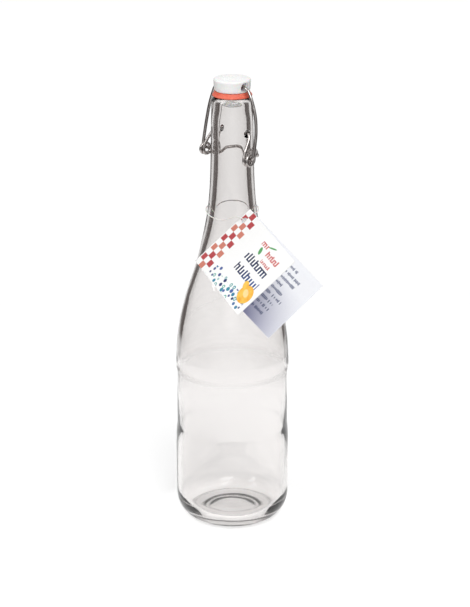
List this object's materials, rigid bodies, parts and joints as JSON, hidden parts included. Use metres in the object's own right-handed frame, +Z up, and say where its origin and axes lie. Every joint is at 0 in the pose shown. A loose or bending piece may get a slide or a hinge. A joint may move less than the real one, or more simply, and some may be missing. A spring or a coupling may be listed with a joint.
{
  "type": "swing top bottle",
  "caption": "Clear glass swing-top bottle with a wire lever closure, a rubber-sealed stopper and a folded card hung round its neck on a thread.",
  "frame": {"origin": "centre of the rest ring under the base, on the bottle's axis", "axes": "+Z up along the bottle; X is the closure's hinge line; +Y is the side of the neck the thumb lever lies against"},
  "size_m": [0.1283, 0.1006, 0.3232],
  "materials": {
    "clear_glass": "smooth, clear, faintly green",
    "white_plastic": "satin gloss",
    "orange_rubber": "matt",
    "steel_wire": "bright drawn wire",
    "white_card": "printed, satin",
    "white_thread": "pearly twisted"
  },
  "bodies": {
    "bottle": {"glass_bottle": "clear_glass"},
    "lever": {"lever_wire": "steel_wire"},
    "bail": {"bail_wire": "steel_wire"},
    "stopper": {"stopper_head": "white_plastic", "stopper_gasket": "orange_rubber"},
    "tag": {"tag_thread": "white_thread", "thread_knot": "white_thread", "tag_back_leaf": "white_card"},
    "tag_cover": {"tag_front_leaf": "white_card"}
  },
  "joints": [
    {"name": "lever_pivot", "type": "hinge", "parent": "bottle", "child": "lever", "pos_m": [0, 0, 0.286], "axis": [1, 0, 0], "range_deg": [0, 84]},
    {"name": "bail_pivot", "type": "hinge", "parent": "lever", "child": "bail", "pos_m": [0, -0.0046, 0.27075], "axis": [1, 0, 0], "range_deg": [-60, 0]},
    {"name": "stopper_swivel", "type": "hinge", "parent": "bail", "child": "stopper", "pos_m": [0, 0, 0.318], "axis": [1, 0, 0], "range_deg": [-26, 0]},
    {"name": "tag_turn", "type": "hinge", "parent": "bottle", "child": "tag", "pos_m": [0, 0, 0.23], "axis": [0, 0, 1], "continuous": true},
    {"name": "tag_fold", "type": "hinge", "parent": "tag", "child": "tag_cover", "pos_m": [0.02167, -0.00313, 0.23428], "axis": [-0.3887, -0.6363, -0.6663], "range_deg": [-54.5, 65]}
  ],
  "couplings": [
    {"joint": "bail_pivot", "follows": "lever_pivot", "ratio": -0.7},
    {"joint": "stopper_swivel", "follows": "lever_pivot", "ratio": -0.3}
  ]
}
